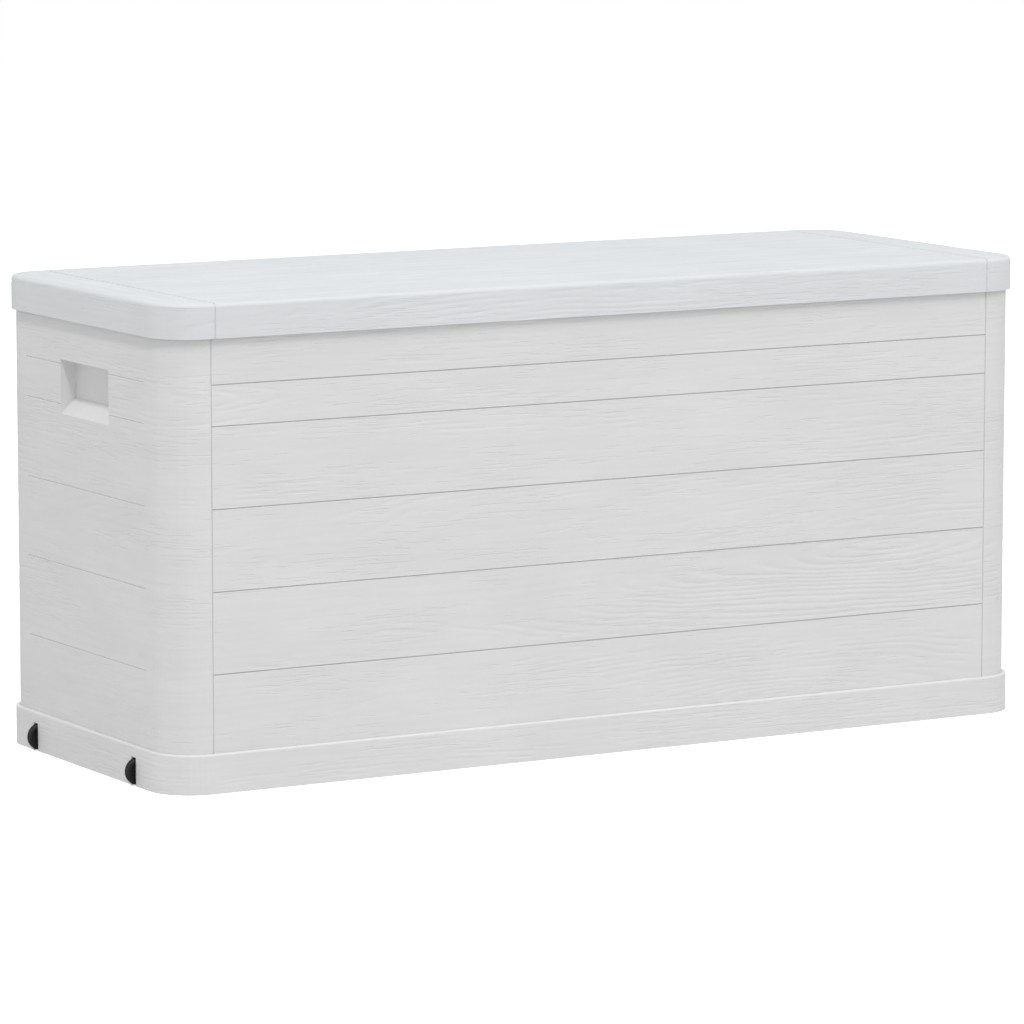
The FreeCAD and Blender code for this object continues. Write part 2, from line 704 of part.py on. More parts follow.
def add_leaf_screw_holes(body, cell):
    """Countersunk holes through the rear skirt for the screws of the hinge leaves."""
    radius = cell.screw_radius + cell.screw_hole_gap
    holes = [Ring(x, cell.leaf_screw_z, radius) for x in screw_places(cell)]
    add_pocket(
        body, "screw_holes", "XZ_Plane", -(cell.face_y + cell.lid_thickness), holes,
        cell.lid_thickness * 2, reverse=True,
    )
    sink_depth = cell.screw_head_radius - cell.screw_radius
    wide = cell.screw_head_radius + cell.screw_hole_gap
    mouths = [Ring(x, cell.leaf_screw_z, wide) for x in screw_places(cell)]
    sink = add_pocket(body, "countersinks", "XZ_Plane", -cell.face_y, mouths, sink_depth, reverse=True)
    sink.TaperAngle = -45
    body.Document.recompute()


def hinge_bracket(doc, cell, name, middle):
    """Lower half of a hinge: a screwed plate with two outer knuckles."""
    body = new_body(doc, name)
    plate = rectangle(cell.plate_back, cell.plate_front, -cell.bracket_drop, 0)
    add_pad(body, "plate", "YZ_Plane", 0, [plate], cell.hinge_width, symmetric=True)
    knuckle = Ring(0, 0, cell.knuckle_radius)
    add_pad(body, "knuckles", "YZ_Plane", 0, [knuckle], cell.hinge_width, symmetric=True)
    half_gap = cell.leaf_knuckle / 2 + cell.knuckle_gap
    relief = cell.knuckle_radius + cell.knuckle_relief
    gap = rectangle(-half_gap, half_gap, -relief, relief)
    add_pocket(body, "leaf_gap", "XZ_Plane", 0, [gap], relief * 4, symmetric=True)
    bore = Ring(0, 0, cell.hinge_pin_radius + cell.pin_clearance)
    add_pocket(body, "pin_bore", "YZ_Plane", 0, [bore], cell.hinge_width, symmetric=True)
    radius = cell.screw_radius + cell.screw_hole_gap
    holes = [Ring(cell.screw_offset * side, -cell.bracket_screw_drop, radius) for side in SIDES]
    add_pocket(body, "screw_holes", "XZ_Plane", 0, holes, relief * 4, symmetric=True)
    place_body(body, middle, cell.axis_y, cell.axis_z)
    return body


def hinge_leaf(doc, cell, name, middle):
    """Upper half of a hinge: a plate inside the lid's skirt with one middle knuckle."""
    body = new_body(doc, name)
    top = cell.leaf_foot + cell.leaf_height
    plate = rectangle(cell.leaf_y - cell.hinge_plate, cell.leaf_y, cell.leaf_foot, top)
    add_pad(body, "plate", "YZ_Plane", 0, [plate], cell.hinge_width, symmetric=True)
    arm = rectangle(0, cell.leaf_y, 0, cell.leaf_foot + cell.hinge_plate)
    add_pad(body, "arm", "YZ_Plane", 0, [arm], cell.leaf_knuckle, symmetric=True)
    knuckle = Ring(0, 0, cell.knuckle_radius)
    add_pad(body, "knuckle", "YZ_Plane", 0, [knuckle], cell.leaf_knuckle, symmetric=True)
    bore = Ring(0, 0, cell.hinge_pin_radius + cell.pin_clearance)
    add_pocket(body, "pin_bore", "YZ_Plane", 0, [bore], cell.hinge_width, symmetric=True)
    radius = cell.screw_radius + cell.screw_hole_gap
    level = cell.leaf_screw_z - cell.axis_z
    holes = [Ring(cell.screw_offset * side, level, radius) for side in SIDES]
    add_pocket(body, "screw_holes", "XZ_Plane", 0, holes, cell.leaf_y * 4, symmetric=True)
    place_body(body, middle, cell.axis_y, cell.axis_z)
    return body


def hinge_pin(doc, cell, name, middle):
    """Hinge pin with a flat head at its left end."""
    body = new_body(doc, name)
    shank = Ring(0, 0, cell.hinge_pin_radius)
    add_pad(body, "shank", "YZ_Plane", 0, [shank], cell.hinge_width, symmetric=True)
    head = Ring(0, 0, cell.pin_head_radius)
    add_pad(body, "head", "YZ_Plane", -cell.hinge_width / 2, [head], cell.pin_head_length, reverse=True)
    place_body(body, middle, cell.axis_y, cell.axis_z)
    return body


def bracket_screws(doc, cell):
    """Pan-head screws that hold the brackets on the rear panel."""
    body = new_body(doc, "bracket_screws")
    seat = cell.axis_y + cell.plate_front
    level = cell.bracket_screw_z
    shanks = [Ring(x, level, cell.screw_radius) for x in screw_places(cell)]
    add_pad(body, "shanks", "XZ_Plane", -seat, shanks, cell.bracket_screw_length)
    heads = [Ring(x, level, cell.screw_head_radius) for x in screw_places(cell)]
    add_pad(body, "heads", "XZ_Plane", -seat, heads, cell.screw_head_height, reverse=True)
    cut_slots(body, cell, level, seat + cell.screw_head_height)
    return body


def leaf_screws(doc, cell):
    """Countersunk screws that hold the hinge leaves on the lid."""
    body = new_body(doc, "leaf_screws")
    level = cell.leaf_screw_z
    shanks = [Ring(x, level, cell.screw_radius) for x in screw_places(cell)]
    add_pad(body, "shanks", "XZ_Plane", -cell.face_y, shanks, cell.leaf_screw_length)
    heads = [Ring(x, level, cell.screw_head_radius) for x in screw_places(cell)]
    sink_depth = cell.screw_head_radius - cell.screw_radius
    cone = add_pad(body, "heads", "XZ_Plane", -cell.face_y, heads, sink_depth)
    cone.TaperAngle = -45
    doc.recompute()
    cut_slots(body, cell, level, cell.face_y)
    return body


def cut_slots(body, cell, level, face):
    """A driver slot across each screw head."""
    half_width = cell.screw_slot_width / 2
    half_length = cell.screw_head_radius
    slots = [
        rectangle(x - half_length, x + half_length, level - half_width, level + half_width)
        for x in screw_places(cell)
    ]
    add_pocket(body, "slots", "XZ_Plane", -face, slots, cell.screw_slot_depth, reverse=True)


def corner_clips(doc, cell, name, end, side):
    """Push-on clips that hold the two flanges of one corner together."""
    body = new_body(doc, name)
    near_x = cell.seam_x - cell.flange_thickness
    far_x = cell.seam_x + cell.flange_thickness
    open_y = cell.flange_tip_y + cell.clip_grip
    crown_y = cell.flange_tip_y - cell.clip_wall

    def at(x, y):
        return x * end, y * side

    plan = Loop(
        at(near_x - cell.clip_wall, open_y),
        at(near_x, open_y),
        at(near_x, cell.flange_tip_y),
        at(far_x, cell.flange_tip_y),
        at(far_x, open_y),
        at(far_x + cell.clip_wall, open_y),
        at(far_x + cell.clip_wall, crown_y),
        at(near_x - cell.clip_wall, crown_y),
    )
    clip = add_pad(body, "clip", "XY_Plane", cell.clip_lowest, [plan], cell.clip_height)
    row = body.newObject("PartDesign::LinearPattern", f"{name}_row")
    row.Originals = [clip]
    row.Direction = (origin_feature(body, "Z_Axis"), [""])
    bind(row, "Length", cell.clip_spacing * (cell.clips_per_corner - 1))
    bind(row, "Occurrences", cell.clips_per_corner)
    body.Tip = row
    doc.recompute()
    return body


def wheel(doc, cell, name, side):
    """Wheel with a dished side, a hub and a bevelled tread."""
    body = new_body(doc, name)
    half = cell.wheel_width / 2
    dished = half - cell.wheel_dish
    bore = cell.axle_radius + cell.pin_clearance
    bevel = cell.wheel_edge_bevel
    outline = Loop(
        (bore, -half),
        (cell.wheel_hub_radius, -half),
        (cell.wheel_hub_radius, -dished),
        (cell.wheel_rim_radius, -dished),
        (cell.wheel_rim_radius, -half),
        (cell.wheel_radius - bevel, -half),
        (cell.wheel_radius, bevel - half),
        (cell.wheel_radius, half - bevel),
        (cell.wheel_radius - bevel, half),
        (cell.wheel_rim_radius, half),
        (cell.wheel_rim_radius, dished),
        (cell.wheel_hub_radius, dished),
        (cell.wheel_hub_radius, half),
        (bore, half),
    )
    sketch = add_sketch(body, "section", "XY_Plane", 0, [outline])
    turned = body.newObject("PartDesign::Revolution", f"{name}_turned")
    turned.Profile = sketch
    turned.ReferenceAxis = (origin_feature(body, "Y_Axis"), [""])
    turned.Angle = 360
    place_body(body, cell.wheel_x, cell.wheel_track / 2 * side, cell.wheel_z)
    doc.recompute()
    return body


def wheel_axle(doc, cell, name, side):
    """Plain axle pin, held in the snap seats of its well."""
    body = new_body(doc, name)
    length = (cell.well_half + cell.axle_seat - cell.axle_end_play) * 2
    add_pad(body, "pin", "XZ_Plane", 0, [Ring(0, 0, cell.axle_radius)], length, symmetric=True)
    place_body(body, cell.wheel_x, cell.wheel_track / 2 * side, cell.wheel_z)
    return body


def build(doc, cell):
    """Make every sub-part."""
    bodies = [
        base_tray(doc, cell),
        long_panel(doc, cell, "front_panel", -1),
        rear_panel(doc, cell),
        end_panel(doc, cell, "left_end_panel", -1),
        end_panel(doc, cell, "right_end_panel", 1),
        lid(doc, cell),
        bracket_screws(doc, cell),
        leaf_screws(doc, cell),
    ]
    for end_name, end in zip(("left", "right"), SIDES):
        for side_name, side in zip(("front", "rear"), SIDES):
            bodies.append(corner_clips(doc, cell, f"{side_name}_{end_name}_clips", end, side))
    for hinge_name, middle in zip(("left", "middle", "right"), hinge_places(cell)):
        bodies.append(hinge_bracket(doc, cell, f"{hinge_name}_hinge_bracket", middle))
        bodies.append(hinge_leaf(doc, cell, f"{hinge_name}_hinge_leaf", middle))
        bodies.append(hinge_pin(doc, cell, f"{hinge_name}_hinge_pin", middle))
    for side_name, side in zip(("front", "rear"), SIDES):
        bodies.append(wheel(doc, cell, f"{side_name}_wheel", side))
        bodies.append(wheel_axle(doc, cell, f"{side_name}_wheel_axle", side))
    return bodies


def check_document(doc, bodies):
    """Stop before writing if a feature failed or a sub-part is not a sound solid."""
    for item in doc.Objects:
        if "Invalid" in item.State or "Error" in item.State:
            raise ValueError(f"{item.Name} did not recompute: {item.State}")
    for body in bodies:
        if body.Shape.isNull() or not body.Shape.isValid():
            raise ValueError(f"{body.Label} has no valid shape")


def export(bodies):
    """Write one file for each sub-part and report its size."""
    os.makedirs("parts", exist_ok=True)
    for body in bodies:
        body.Shape.exportStep(f"parts/{body.Label}.step")
        box = body.Shape.BoundBox
        print(f"{body.Label}: {len(body.Shape.Solids)} solids, {body.Shape.Volume / 1000:.1f} cm3, "
              f"x {box.XMin:.1f} {box.XMax:.1f}, y {box.YMin:.1f} {box.YMax:.1f}, "
              f"z {box.ZMin:.1f} {box.ZMax:.1f}")


def main():
    """Build, check and write the storage box."""
    doc = FreeCAD.newDocument("GardenStorageBox")
    cell = make_sheet(doc)
    add_places(cell)
    bodies = build(doc, cell)
    doc.recompute()
    check_document(doc, bodies)
    export(bodies)


main()
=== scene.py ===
"""Looks of a garden storage box: grained resin panels, lid and base, black wheels and plated steel.

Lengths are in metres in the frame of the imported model: +X along the box away from the wheels, +Y to the
hinges, +Z up. Each resin moulding starts as a merged copy of its solid. Its visible faces are cut into a
fine grid, and the wood grain of the mould is pressed into that grid.
"""
import json
import logging
import math
from abc import ABC, abstractmethod
from dataclasses import dataclass, field
from enum import Enum
from typing import Iterable, NamedTuple

import bmesh
import bpy
from mathutils import Matrix, Vector, noise


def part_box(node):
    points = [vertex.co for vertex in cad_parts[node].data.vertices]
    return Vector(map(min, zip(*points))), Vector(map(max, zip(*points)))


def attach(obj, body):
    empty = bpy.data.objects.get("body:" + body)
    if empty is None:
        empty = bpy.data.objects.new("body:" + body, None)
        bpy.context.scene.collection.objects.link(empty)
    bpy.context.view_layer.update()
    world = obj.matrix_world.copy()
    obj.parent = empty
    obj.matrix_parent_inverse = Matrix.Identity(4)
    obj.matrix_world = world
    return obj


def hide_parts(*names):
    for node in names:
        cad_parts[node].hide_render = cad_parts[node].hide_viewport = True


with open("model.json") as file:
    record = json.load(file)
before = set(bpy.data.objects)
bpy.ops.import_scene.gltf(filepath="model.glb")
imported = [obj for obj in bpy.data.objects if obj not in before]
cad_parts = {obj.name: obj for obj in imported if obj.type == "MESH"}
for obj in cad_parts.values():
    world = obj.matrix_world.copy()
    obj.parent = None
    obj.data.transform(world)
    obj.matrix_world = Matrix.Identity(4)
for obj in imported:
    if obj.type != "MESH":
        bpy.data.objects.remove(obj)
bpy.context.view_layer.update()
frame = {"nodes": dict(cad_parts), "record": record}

log = logging.getLogger("storage_box")

Color = tuple[float, float, float]
Pair = tuple[float, float]
Socket = bpy.types.NodeSocket
Face = bmesh.types.BMFace

MM = 0.001
MERGE = 1e-6  # corners nearer than this are one
FLAT_ANGLE = math.radians(0.5)  # faces that meet at less than this are one flat face
COARSER = 1.0
GROOVE_SHADE = "groove_shade"
WHITE = (1.0, 1.0, 1.0, 1.0)
X_AXIS = Vector((1, 0, 0))
Y_AXIS = Vector((0, 1, 0))
Z_AXIS = Vector((0, 0, 1))


class Run(Enum):
    """How the grain runs over a face; the number is also the face's place in the list of finishes."""

    PLAIN = 0
    ROUND = 1
    ALONG_X = 2
    ALONG_Y = 3


def smoothstep(low: float, high: float, value: float) -> float:
    """Ease from 0 at low to 1 at high.

    Args:
        low: Value where the result is 0.
        high: Value where the result is 1, which may be the lesser of the two.
        value: Where to read the curve.

    Returns:
        A number from 0 to 1.
    """
    share = min(max((value - low) / (high - low), 0.0), 1.0)
    return share * share * (3.0 - 2.0 * share)


def evenly(start: float, end: float, step: float) -> list[float]:
    """Places inside a stretch, evenly spaced.

    Args:
        start: One end of the stretch.
        end: The other end, larger than start.
        step: Largest distance between two places.

    Returns:
        The places, without the two ends.
    """
    count = max(1, math.ceil((end - start) / step))
    return [start + (end - start) * index / count for index in range(1, count)]


def shade(color: Color, factor: float) -> Color:
    """Return a colour made lighter or darker by a factor."""
    return tuple(channel * factor for channel in color)


@dataclass(frozen=True)
class Outline:
    """Rounded rectangle that the box follows, seen from above."""

    half_length: float
    half_depth: float
    radius: float

    def around(self, x: float, y: float) -> float:
        """Measure the way round the outline from the middle of the front.

        Args:
            x: Place along the box.
            y: Place across the box.

        Returns:
            Distance along the outline, negative on the left half of the box.
        """
        straight = self.half_length - self.radius
        side = self.half_depth - self.radius
        quarter = self.radius * math.pi / 2
        reach = abs(x)
        if reach <= straight:
            distance = reach if y < 0 else 2 * (straight + quarter + side) - reach
        elif abs(y) <= side:
            distance = straight + quarter + side + y
        elif y < 0:
            distance = straight + self.radius * math.atan2(reach - straight, -y - side)
        else:
            turn = math.atan2(y - side, reach - straight)
            distance = straight + quarter + 2 * side + self.radius * turn
        return math.copysign(distance, x)

    def away(self, point: Vector) -> Vector:
        """Vector from the rectangle of the corners' centres out to a point, seen from above.

        Args:
            point: Any point.

        Returns:
            The level vector, 0 long for a point inside that rectangle.
        """
        reach_x = max(abs(point.x) - self.half_length + self.radius, 0.0)
        reach_y = max(abs(point.y) - self.half_depth + self.radius, 0.0)
        return Vector((math.copysign(reach_x, point.x), math.copysign(reach_y, point.y), 0.0))

    def inset(self, point: Vector) -> float:
        """Distance of a point inwards from the outline."""
        return self.radius - self.away(point).length

    def outward(self, face: Face) -> float:
        """How far a face looks outwards, from -1 to 1, or 0 well inside the box."""
        away = self.away(face.calc_center_median())
        return face.normal.dot(away.normalized()) if away.length else 0.0


@dataclass(frozen=True)
class Heart:
    """Heart of the log in one board, which the growth lines bend round and crowd about.

    The lines open into arches the way that facing points along the grain, or close into rings where it is
    0. Pull is the strength of the crowding, and reach is how far from the heart it ends.
    """

    along: float
    across: float
    facing: float = 1.0
    pull: float = 0.4
    reach: float = 0.42

    def ring(self, along: float, across: float, stretch: float) -> float:
        """Measure which growth line runs through a place.

        Args:
            along: Place along the grain.
            across: Place across the grain.
            stretch: How many times longer than wide the rings are.

        Returns:
            Distance of the line from the heart, taken across the grain.
        """
        past = self.along - along
        behind = max(self.facing * past, 0.0) if self.facing else past
        return math.hypot(behind / stretch, across - self.across)

    def zeal(self, along: float) -> float:
        """Say how strongly the growth lines crowd at a place along the grain."""
        return self.pull * smoothstep(self.reach, 0.0, abs(along - self.along))


class GrainPlace(NamedTuple):
    """Where a point lies in the grain of its board, and what share of the grain's depth it gets."""

    along: float
    across: float
    board: int
    heart: Heart | None = None
    share: float = 1.0


@dataclass(frozen=True)
class WoodGrain:
    """Growth lines pressed into the resin: long in lively patches, broken into dashes, gone in calm ones.

    The shifts keep the patterns of two boards, and the waves of one board, from looking alike.
    """

    depth: float = 0.38 * MM
    pitch: float = 5.8 * MM
    sharpness: int = 3
    dash: float = 34 * MM
    patch_length: float = 190 * MM
    patch_height: float = 30 * MM
    arch_stretch: float = 8.0
    sway: float = 7 * MM
    sway_length: float = 240 * MM
    waver: float = 2.2 * MM
    waver_length: float = 50 * MM
    calm: float = 0.13
    lively: float = 0.38
    deeper: float = 0.5
    patch_weight: float = 0.62
    break_weight: float = 0.75
    board_shift: float = 17.3
    waver_shift: float = 5.1
    patch_shift: float = 9.7
    break_shift: float = 2.9
    line_shift: float = 3.7

    def press(self, place: GrainPlace) -> float:
        """Work out the depth of the grain at one place of a board.

        Args:
            place: Where the point lies in the grain.

        Returns:
            How far the face would be pressed in there with the whole depth.
        """
        along, across, board, heart, _ = place
        own = self.board_shift * board
        line, zeal = across, 0.0
        if heart is not None:
            line, zeal = heart.ring(along, across, self.arch_stretch), heart.zeal(along)
        sway = Vector((along / self.sway_length, across / self.patch_height, own))
        line += self.sway * noise.noise(sway)
        waver = Vector((along / self.waver_length, across / self.waver_length, own + self.waver_shift))
        line += self.waver * noise.noise(waver)
        turns = line / self.pitch
        number = math.floor(turns)
        ridge = 0.5 - 0.5 * math.cos(2 * math.pi * (turns - number))
        patch = Vector((along / self.patch_length, across / self.patch_height, own + self.patch_shift))
        breaks = Vector((along / self.dash, self.line_shift * number, own + self.break_shift))
        liveliness = self.patch_weight * noise.noise(patch) + self.break_weight * noise.noise(breaks) + zeal
        gate = smoothstep(self.calm, self.lively, liveliness)
        return self.depth * gate * (1.0 + self.deeper * zeal) * ridge ** self.sharpness


@dataclass(frozen=True)
class NodeWork:
    """Node tree of a material or of the world, with short ways to add to it."""

    tree: bpy.types.NodeTree

    def feed(self, target: Socket, value: object) -> None:
        """Fill the input of a node.

        Args:
            target: The input.
            value: Output to link to it, or the constant that it gets.
        """
        if isinstance(value, Socket):
            self.tree.links.new(value, target)
        else:
            target.default_value = value

    def add(self, kind: str, **inputs: object) -> bpy.types.Node:
        """Add a node and fill its inputs.

        Args:
            kind: Type name of the new node.
            **inputs: Names of inputs with outputs to link or constants.

        Returns:
            The new node.
        """
        node = self.tree.nodes.new(kind)
        for name, value in inputs.items():
            self.feed(node.inputs[name], value)
        return node

    def noise(self, place: Socket, scale: float, detail: float, roughness: float) -> Socket:
        """Add a noise.

        Args:
            place: Output that gives the coordinates.
            scale: Repeats in one unit of the coordinates.
            detail: How many finer waves it has.
            roughness: Strength of the finer waves.

        Returns:
            Output that gives the noise.
        """
        waves = {"Scale": scale, "Detail": detail, "Roughness": roughness}
        return self.add("ShaderNodeTexNoise", Vector=place, **waves).outputs["Fac"]

    def bump(self, height: Socket, strength: float, distance: float, under: Socket | None = None) -> Socket:
        """Add a bump.

        Args:
            height: Output that gives the height.
            strength: Strength of the bump.
            distance: Depth of the bump where the height goes from 0 to 1.
            under: Output of the bump that this one lies on.

        Returns:
            Output that gives the normal.
        """
        node = self.add("ShaderNodeBump", Height=height, Strength=strength, Distance=distance)
        if under is not None:
            self.feed(node.inputs["Normal"], under)
        return node.outputs["Normal"]

    def ramp(self, source: Socket, stops: Pair, colors: tuple[Color, Color]) -> Socket:
        """Turn a number into a colour.

        Args:
            source: Output that gives the number.
            stops: The two numbers between which the colour changes.
            colors: Colours at the two stops.

        Returns:
            Output that gives the colour.
        """
        node = self.add("ShaderNodeValToRGB", Fac=source)
        for element, stop, color in zip(node.color_ramp.elements, stops, colors):
            element.position = stop
            element.color = (*color, 1.0)
        return node.outputs["Color"]

    def spread(self, source: Socket, start: Pair, end: Pair, ease: str = "LINEAR") -> Socket:
        """Turn a range of numbers into another range.

        Args:
            source: Output that gives the number.
            start: The range that it comes from.
            end: The range that it goes to.
            ease: How the result goes from one end to the other.

        Returns:
            Output that gives the result.
        """
        node = self.add("ShaderNodeMapRange", Value=source)
        node.interpolation_type = ease
        for name, value in zip(("From Min", "From Max", "To Min", "To Max"), (*start, *end)):
            self.feed(node.inputs[name], value)
        return node.outputs["Result"]

    def math(self, operation: str, *numbers: object) -> Socket:
        """Work out a number from others.

        Args:
            operation: Name of the operation.
            *numbers: Outputs or constants that it takes, in order.

        Returns:
            Output that gives the result.
        """
        node = self.add("ShaderNodeMath")
        node.operation = operation
        for target, number in zip(node.inputs, numbers):
            self.feed(target, number)
        return node.outputs["Value"]

    def multiply(self, color: Socket, by: object, share: object = 1.0) -> Socket:
        """Multiply a colour by another.

        Args:
            color: Output that gives the colour.
            by: Output or constant that it is multiplied by.
            share: Output or constant that says how much of this is done, from 0 to 1.

        Returns:
            Output that gives the result.
        """
        node = self.add("ShaderNodeMixRGB", Fac=share, Color1=color, Color2=by)
        node.blend_type = "MULTIPLY"
        return node.outputs["Color"]


def new_material(name: str) -> tuple[bpy.types.Material, NodeWork, bpy.types.Node]:
    """Start a node material with its main shader.

    Args:
        name: Name of the finish.

    Returns:
        The material, its node tree and its Principled shader.
    """
    material = bpy.data.materials.new(name)
    material.use_nodes = True
    return material, NodeWork(material.node_tree), material.node_tree.nodes["Principled BSDF"]


@dataclass(frozen=True)
class ResinFinish:
    """Pale satin resin with faint clouds of tone, short pressed pores, fine scratches along the grain and
    painted groove shade.

    The two repeats of each pattern are counted in a metre, along and across the grain.
    """

    run: Run
    name: str = "wall resin"
    color: Color = (0.752, 0.752, 0.756)
    roughness: float = 0.46
    gloss_spread: Pair = (-0.05, 0.07)
    specular: float = 0.3
    scratch_repeats: Pair = (28.0, 900.0)
    scratch_height: float = 0.03 * MM
    scratch_strength: float = 0.6
    pore_repeats: Pair = (24.0, 380.0)
    pore_depth: float = 0.2 * MM
    pore_edge: Pair = (1.09, 1.17)
    patch_repeats: Pair = (5.0, 22.0)
    patch_weight: float = 0.9
    cloud_repeats: Pair = (7.0, 18.0)
    cloud_stops: Pair = (0.3, 0.7)
    cloud_tone: float = 0.022
    # painted shade: the colour in the deepest part of grooves and seams is multiplied by this
    groove_shade_tone: float = 0.6
    streak_repeats: Pair = (9.0, 190.0)
    streak_stops: Pair = (0.35, 0.65)
    streak_tone: Pair = (0.985, 1.012)

    def drawn_out(self, work: NodeWork, repeats: Pair, detail: float, roughness: float = 0.5) -> Socket:
        """Add a noise that is drawn out along the grain.

        Args:
            work: Node tree of the material.
            repeats: Repeats in a metre along and across the grain.
            detail: How many finer waves it has.
            roughness: Strength of the finer waves.

        Returns:
            Output that gives the noise.
        """
        along, across = repeats
        square = {Run.PLAIN: (0, 1, 2), Run.ROUND: (2,), Run.ALONG_X: (1,), Run.ALONG_Y: (0,)}[self.run]
        scale = [across if axis in square else along for axis in range(3)]
        coords = work.add("ShaderNodeTexCoord").outputs["Object"]
        mapping = work.add("ShaderNodeMapping", Vector=coords, Scale=scale)
        return work.noise(mapping.outputs["Vector"], scale=1.0, detail=detail, roughness=roughness)

    def pores(self, work: NodeWork) -> Socket:
        """Add the pattern of short pores, crowded in some patches and absent in others.

        Args:
            work: Node tree of the material.

        Returns:
            Output that is 1 outside the pores and 0 in them.
        """
        dashes = self.drawn_out(work, self.pore_repeats, detail=1.0)
        patches = self.drawn_out(work, self.patch_repeats, detail=2.0)
        total = work.math("MULTIPLY_ADD", patches, self.patch_weight, dashes)
        return work.spread(total, self.pore_edge, (1.0, 0.0), ease="SMOOTHSTEP")

    def streaks(self, work: NodeWork, tone: Socket) -> Socket:
        """Lay faint lighter and darker streaks along the grain over a tone.

        Args:
            work: Node tree of the material.
            tone: Output that gives the colour so far.

        Returns:
            Output that gives the streaked colour.
        """
        pattern = self.drawn_out(work, self.streak_repeats, detail=2.0)
        dark, light = self.streak_tone
        return work.multiply(tone, work.ramp(pattern, self.streak_stops, ((dark,) * 3, (light,) * 3)))

    def material(self) -> bpy.types.Material:
        """Build the node material.

        Returns:
            The material, ready to be put in a slot.
        """
        material, work, shader = new_material(f"{self.name} {self.run.name.lower()}")
        grained = self.run is not Run.PLAIN
        scratches = self.drawn_out(work, self.scratch_repeats, detail=3.0, roughness=0.6)
        normal = work.bump(scratches, self.scratch_strength, self.scratch_height)
        if grained:
            normal = work.bump(self.pores(work), strength=1.0, distance=self.pore_depth, under=normal)
        clouds = self.drawn_out(work, self.cloud_repeats, detail=4.0, roughness=0.55)
        dark, light = shade(self.color, 1.0 - self.cloud_tone), shade(self.color, 1.0 + self.cloud_tone)
        tone = work.ramp(clouds, self.cloud_stops, (dark, light))
        if grained:
            tone = self.streaks(work, tone)
        # painted shade: darkens the tone in grooves and seams by the depth noted in the mesh attribute
        depth = work.add("ShaderNodeAttribute")
        depth.attribute_name = GROOVE_SHADE
        groove_shade_color = (*[self.groove_shade_tone] * 3, 1.0)
        low, high = (self.roughness + change for change in self.gloss_spread)
        work.feed(shader.inputs["Base Color"], work.multiply(tone, groove_shade_color, share=depth.outputs["Fac"]))
        work.feed(shader.inputs["Roughness"], work.spread(scratches, (0.0, 1.0), (low, high)))
        work.feed(shader.inputs["Normal"], normal)
        work.feed(shader.inputs["Specular IOR Level"], self.specular)
        return material


@dataclass(frozen=True)
class PlainFinish:
    """Moulded or plated surface with one colour, a fine texture and slightly uneven gloss."""

    name: str
    color: Color
    roughness: float
    metallic: float = 0.0
    specular: float = 0.5
    texture_scale: float = 1400.0
    texture_height: float = 0.03 * MM
    texture_strength: float = 0.5
    cloud_scale: float = 60.0
    cloud_stops: Pair = (0.3, 0.7)
    cloud_tones: Pair = (0.9, 1.08)
    unevenness: float = 0.06

    def material(self) -> bpy.types.Material:
        """Build the node material.

        Returns:
            The material, ready to be put in a slot.
        """
        material, work, shader = new_material(self.name)
        coords = work.add("ShaderNodeTexCoord").outputs["Object"]
        texture = work.noise(coords, self.texture_scale, detail=2.0, roughness=0.5)
        clouds = work.noise(coords, self.cloud_scale, detail=3.0, roughness=0.6)
        dark, light = (shade(self.color, tone) for tone in self.cloud_tones)
        low, high = self.roughness - self.unevenness, self.roughness + self.unevenness
        work.feed(shader.inputs["Base Color"], work.ramp(clouds, self.cloud_stops, (dark, light)))
        work.feed(shader.inputs["Roughness"], work.spread(clouds, (0.0, 1.0), (low, high)))
        work.feed(shader.inputs["Normal"], work.bump(texture, self.texture_strength, self.texture_height))
        work.feed(shader.inputs["Metallic"], self.metallic)
        work.feed(shader.inputs["Specular IOR Level"], self.specular)
        return material


@dataclass
class Piece:
    """Piece of the visual model that stands for one solid, with the body and the slot of the record."""

    node: str

    @property
    def body(self) -> str:
        """Body that the solid belongs to."""
        bodies = frame["record"]["behaviour"]["bodies"]
        return next(body for body, nodes in bodies.items() if self.node in nodes)

    @property
    def slot(self) -> str:
        """Slot that the solid takes its finish from."""
        rows = frame["record"]["subparts"]
        return next(row["material_slot"] for row in rows if row["node"] == self.node)

    def merged_copy(self) -> bmesh.types.BMesh:
        """Copy the solid's mesh, merge its corners and join the triangles of each flat face.

        Returns:
            The copy.
        """
        mesh = bmesh.new()
        mesh.from_mesh(frame["nodes"][self.node].data)
        bmesh.ops.remove_doubles(mesh, verts=mesh.verts[:], dist=MERGE)
        bmesh.ops.dissolve_limit(mesh, angle_limit=FLAT_ANGLE, verts=mesh.verts[:], edges=mesh.edges[:])
        return mesh

    def place(
        self, mesh: bmesh.types.BMesh, ending: str, finishes: Iterable[bpy.types.Material]
    ) -> bpy.types.Object:
        """Turn the work into an object that replaces the solid and rides on its body.

        Args:
            mesh: The work, which is freed.
            ending: Last word of the new piece's name.
            finishes: Materials of the piece.

        Returns:
            The new object.
        """
        for face in mesh.faces:
            face.smooth = True
        name = f"{self.node}_{ending}"
        data = bpy.data.meshes.new(name)
        mesh.to_mesh(data)
        mesh.free()
        for finish in finishes:
            data.materials.append(finish)
        piece = bpy.data.objects.new(name, data)
        bpy.context.scene.collection.objects.link(piece)
        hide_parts(self.node)
        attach(piece, self.body)
        log.info("%s: %d faces", name, len(data.polygons))
        return piece


